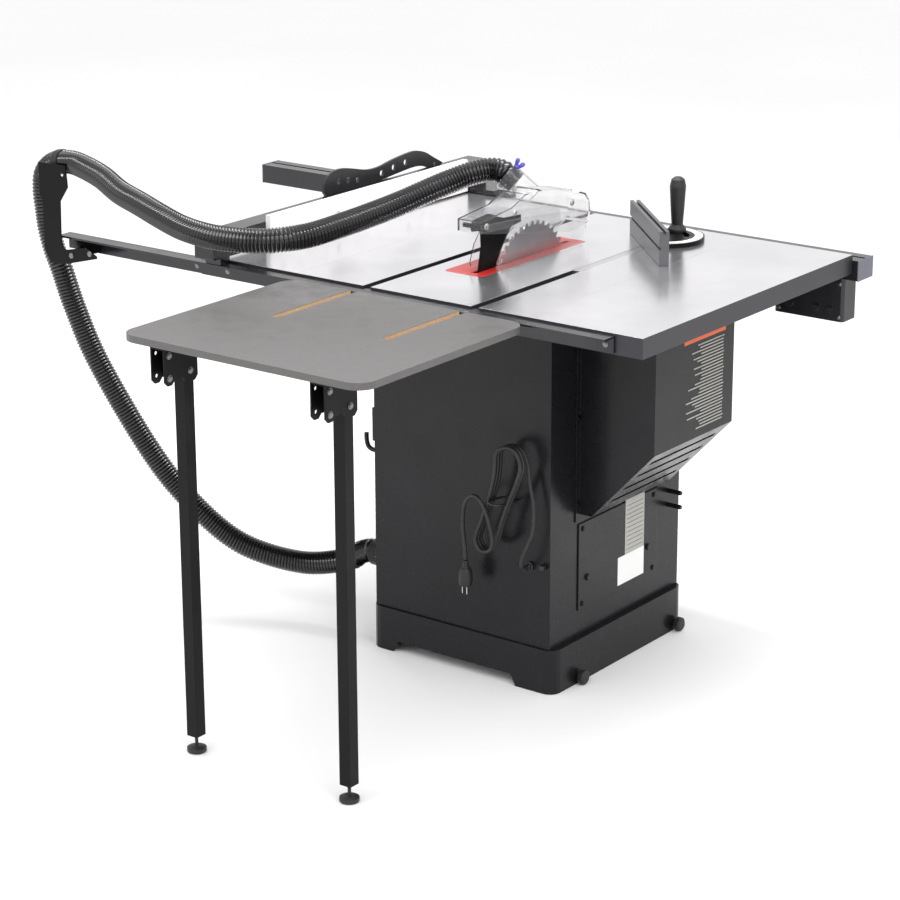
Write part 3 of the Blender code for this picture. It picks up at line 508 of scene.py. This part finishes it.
def cord_points():
    """Out of the gland, three upright coils, then down to the plug."""
    y = -146
    points = [(365, -163, 265), (365, -150, 265.5), (364, -138, 271), (361, -131, 286), (353, -132, 310),
              (341, -140, 350), (342, y, 400), (352, y, 450), (358, y, 490)]
    for turn in range(COILS):
        y = -143 + 9.5 * turn
        points += [(372, y, 515), (395, y + 1, 519), (416, y + 2, 503), (420, y + 2.5, 460),
                   (432, y + 3, 410), (452, y + 3.5, 355), (466, y + 4, 315), (452, y + 5, 294),
                   (428, y + 6, 300), (412, y + 6.5, 345), (394, y + 7, 395), (372, y + 7.5, 445),
                   (360, y + 8.5, 485)]
    points = points[:-4]
    points += [(420, -114, 330), (440, -113, 390), (466, -114, 408), (490, -118, 385), (498, -122, 340),
               (496, -126, 290), (496, -128, 262)]
    return points


def mains_cord():
    """Cord with its gland, tie, clip and two-blade plug."""
    route, length = even_route(cord_points(), 5)
    shape = bmesh.new()
    add_sweep(shape, route, lambda i: 3.9, 12)
    cord = piece("mains_cord", shape, "rubber", "stand", 60)
    shape = bmesh.new()
    body = [(0, 10), (1, 12), (7, 14.2), (18, 15), (30, 13.4), (38, 10), (40, 7.6), (44, 7.2), (45, 6.2),
            (49, 6.8), (50, 5.8), (54, 6.2), (55, 5.2)]
    add_turned(shape, P(496, -128, 206), (0, 0, 1), body, 24)
    # Black cores, which the metal prongs cover
    for k in BLADES:
        add_block(shape, 496 + k, 497.5 + k, -131.2, -124.8, 190, 207, 0.4)
    plug = piece("mains_plug", shape, "rubber", "stand", 35)
    shape = bmesh.new()
    for k in BLADES:
        add_block(shape, 495.8 + k, 497.7 + k, -131.4, -124.6, 189.6, 205.6, 0.5)
    prongs = piece("plug_prongs", shape, "shiny", "stand")
    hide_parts("power_cord")
    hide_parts("cord_plug")
    shape = bmesh.new()
    gland = [(0, 9), (2, 9.5), (5, 9.5), (6, 7.4), (11, 6.8), (12, 5.8), (16, 5.6), (22, 4.6)]
    add_turned(shape, P(365, -168, 265), (0, 1, 0), gland, 24)
    relief = piece("cord_gland", shape, "plastic", "stand", 35)
    shape = bmesh.new()
    tie_route, _ = even_route([(402, -169, 398), (396, -160, 398), (398, -128, 400), (404, -106, 402),
                               (420, -104, 404), (428, -120, 404), (426, -150, 402), (420, -169, 400)], 3)
    add_sweep(shape, tie_route, lambda i: 2.4, 8)
    tie = piece("cord_tie", shape, "plastic", "stand", 60)
    shape = bmesh.new()
    add_block(shape, 326, 336, -168.2, -156, 266, 276, 1.2)
    clip = piece("cord_clip", shape, "plastic", "stand")
    print("cord length", round(length, 3))


# ---- small hardware


def heads(name, spots, coat, body, radius, high):
    """Flanged round heads with a small hexagon on top: spots lists (plan point, direction)."""
    washer = radius * 1.35
    head = [(-0.3, washer), (1.0, washer), (1.2, radius), (high, radius), (high + 0.7, radius * 0.82)]
    hexagon = [(high + 0.3, radius * 0.5), (high + 0.9, radius * 0.46)]
    shape = bmesh.new()
    for at, direction in spots:
        add_turned(shape, P(*at), direction, head, 24)
        add_turned(shape, P(*at), direction, hexagon, 6)
    made = piece(name, shape, coat, body, 35)


def hardware():
    """Bolts, screws, rivets and end caps."""
    rear = (0, 1, 0)
    left = (-1, 0, 0)
    heads("rail_bolts", [((x, 5, 812), rear) for x in (78, 992, 1074)], "bolt", "stand", 4.5, 2.4)
    heads("hanger_bolts", [((x, 51, z), rear) for x, z in ((1332, 807), (1385, 796))], "bolt", "stand",
          4.5, 2.2)
    heads("panel_screws", [((314.3, y, z), left) for y in (-540, -279) for z in (162, 323)], "black",
          "stand", 4.5, 2)
    heads("cover_screws", [((314.2, -259, z), left) for z in (380, 560, 740)], "black", "side_cover",
          4.5, 2.2)
    pins = []
    for x in (328, 704):
        pins += [((x - 17, 514, 762), left), ((x - 17, 514, 805), left), ((x - 17, 458, 765), left)]
    heads("leg_pins", pins, "bolt", "stand", 5, 3)
    heads("switch_screws", [((x, -777, z), rear) for x in (28, 168) for z in (698, 768)], "bolt", "stand",
          3.5, 1.6)
    heads("fence_screws", [((968, y, 873), left) for y in (-740, -560, -320, -140)], "steel", "fence",
          4, 1.2)
    rivets = [((BLADE_X - 29, y, TOP + z), left) for y, z in ((-205, 98), (-300, 108), (-500, 92))]
    heads("guard_rivets", rivets, "steel", "hood", 5, 2.4)
    shape = bmesh.new()
    add_block(shape, -15, -12.2, -836, -774.5, 779, 823, 1.2)
    cap = piece("rail_cap_left", shape, "cap", "stand")
    shape = bmesh.new()
    add_block(shape, 1567.2, 1570, -836, -774.5, 779, 823, 1.2)
    cap = piece("rail_cap_right", shape, "cap", "stand")
    shape = bmesh.new()
    add_block(shape, 982, 1028, 56.4, 60.6, 848, 894, 1.0)
    cap = piece("fence_cap", shape, "plastic", "fence")


def protractor():
    """White scale ring on the miter head, with plain ticks."""
    px, py = 377.0, -665.0
    first, last = 120, 330
    steps = 64
    section = ((60, TOP + 8.8), (60, TOP + 9.5), (77, TOP + 9.5), (77, TOP + 8.8))
    shape = bmesh.new()
    rows = []
    for i in range(steps + 1):
        turn = math.radians(first + (last - first) * i / steps)
        c, s = math.cos(turn), math.sin(turn)
        rows.append([shape.verts.new(P(px + r * c, py + r * s, z)) for r, z in section])
    for a, b in zip(rows, rows[1:]):
        for k in range(4):
            j = (k + 1) % 4
            shape.faces.new((a[k], a[j], b[j], b[k]))
    shape.faces.new(rows[0][::-1])
    shape.faces.new(rows[-1])
    ring = piece("miter_scale", shape, "dial", "miter_protractor")
    shape = bmesh.new()
    for i in range(42):
        turn = math.radians(first + 2 + 5 * i)
        c, s = math.cos(turn), math.sin(turn)
        inner = 64 if i % 3 == 0 else 70
        sides = ((inner, -0.5), (76, -0.5), (76, 0.5), (inner, 0.5))
        ends = [(r * c - w * s, r * s + w * c) for r, w in sides]
        low_row = [shape.verts.new(P(px + u, py + v, TOP + 9.3)) for u, v in ends]
        high_row = [shape.verts.new(P(px + u, py + v, TOP + 9.8)) for u, v in ends]
        for k in range(4):
            j = (k + 1) % 4
            shape.faces.new((low_row[k], low_row[j], high_row[j], high_row[k]))
        shape.faces.new(low_row[::-1])
        shape.faces.new(high_row)
    ticks = piece("miter_scale_ticks", shape, "ink", "miter_protractor")


def hose_strap():
    """Strap holding the hose to the top of its hanger."""
    shape = bmesh.new()
    at = Vector((1440, 11.4, 981.5))
    ahead = Vector((0.97, -0.04, -0.16)).normalized()
    half = 9
    a, b = P(*(at - half * ahead)), P(*(at + half * ahead))
    route = [a.lerp(b, t / 4) for t in range(5)]
    add_sweep(shape, route, lambda i: 26.4 if 0 < i < 4 else 25.6, 28)
    add_block(shape, 1430, 1450, 30, 47.8, 964, 978, 1.5)
    strap = piece("hose_strap", shape, "rubber", "stand", 40)


def hose_clamps():
    """Band and blue wing key at each end of the hose; returns the last pair, at the cabinet's port."""
    sides = 40
    bore = 28.6
    for name, at, ahead, wide, body in (
            ("hood_hose_clamp", SPIGOT + 57.5 * LEAN, LEAN, 31.4, "hood"),
            ("port_hose_clamp", Vector((778, -225, 185)), Vector((1, 0, 0)), 32.8, "stand")):
        ahead = ahead.normalized()
        side = ahead.cross(Vector((0, 1, 0))).normalized()
        if side.z < 0:
            side = -side
        shape = bmesh.new()
        half = 4.4
        a, b = P(*(at - half * ahead)), P(*(at + half * ahead))
        turn = frame_to(ahead)
        rows = []
        for point, wall in ((a, bore), (a, wide - 0.8), (a.lerp(b, 0.1), wide), (a.lerp(b, 0.9), wide),
                            (b, wide - 0.8), (b, bore)):
            angles = [2 * math.pi * k / sides for k in range(sides)]
            ring = [Vector((wall * math.cos(angle), wall * math.sin(angle), 0)) for angle in angles]
            rows.append([shape.verts.new(point + turn @ spot / 1000) for spot in ring])
        for low, high in zip(rows, rows[1:] + rows[:1]):
            for k in range(sides):
                j = (k + 1) % sides
                shape.faces.new((low[k], low[j], high[j], high[k]))
        band = piece(name + "_band", shape, "smoke", body, 40)
        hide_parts(name)
        shape = bmesh.new()
        wing = [(-2.5, 2.6), (3, 3.4), (9, 4.6), (13, 4.2), (15, 2.4)]
        for k in (-1, 1):
            root = at + (wide + 2) * side + 4 * k * ahead
            add_turned(shape, P(*root), side + 0.25 * k * ahead, wing, 16)
        add_turned(shape, P(*(at + (wide - 1) * side)), side, [(0, 6), (3, 6), (5, 4)], 16)
        key = piece(name + "_key", shape, "blue", body, 40)
        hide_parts(name)
    return [band, key]


def labels():
    """Plain labels: bars stand in for the lines of text."""
    cover = 140.0
    shape = bmesh.new()
    add_block(shape, cover - 0.6, cover - 0.05, -520, -366, 712, 731, 0)
    header = piece("cover_label_header", shape, "orange", "side_cover")
    shape = bmesh.new()
    z = 704.0
    for row in range(27):
        start = -516 + (3 if row % 5 else 0)
        width = 144 * (0.55 + 0.42 * RNG.random())
        add_block(shape, cover - 0.6, cover - 0.05, start, start + width, z - 2.6, z, 0)
        z -= 6.6
    bars = piece("cover_label_bars", shape, "paper", "side_cover")
    panel = 314.7
    shape = bmesh.new()
    add_block(shape, panel - 0.6, panel - 0.05, -505, -434, 214, 342, 0)
    plate = piece("side_plate", shape, "paper", "stand")
    shape = bmesh.new()
    z = 326.0
    for row in range(11):
        add_block(shape, panel - 0.9, panel - 0.55, -500, -440, z - 0.8, z, 0)
        z -= 9.5
    lines = piece("side_plate_lines", shape, "ink", "stand")
    shape = bmesh.new()
    add_block(shape, panel - 0.9, panel - 0.05, -505, -408, 160, 221, 0)
    sticker = piece("side_sticker", shape, "white", "stand")


dust_hose(hose_clamps())
labels()
mains_cord()
hardware()
protractor()
hose_strap()
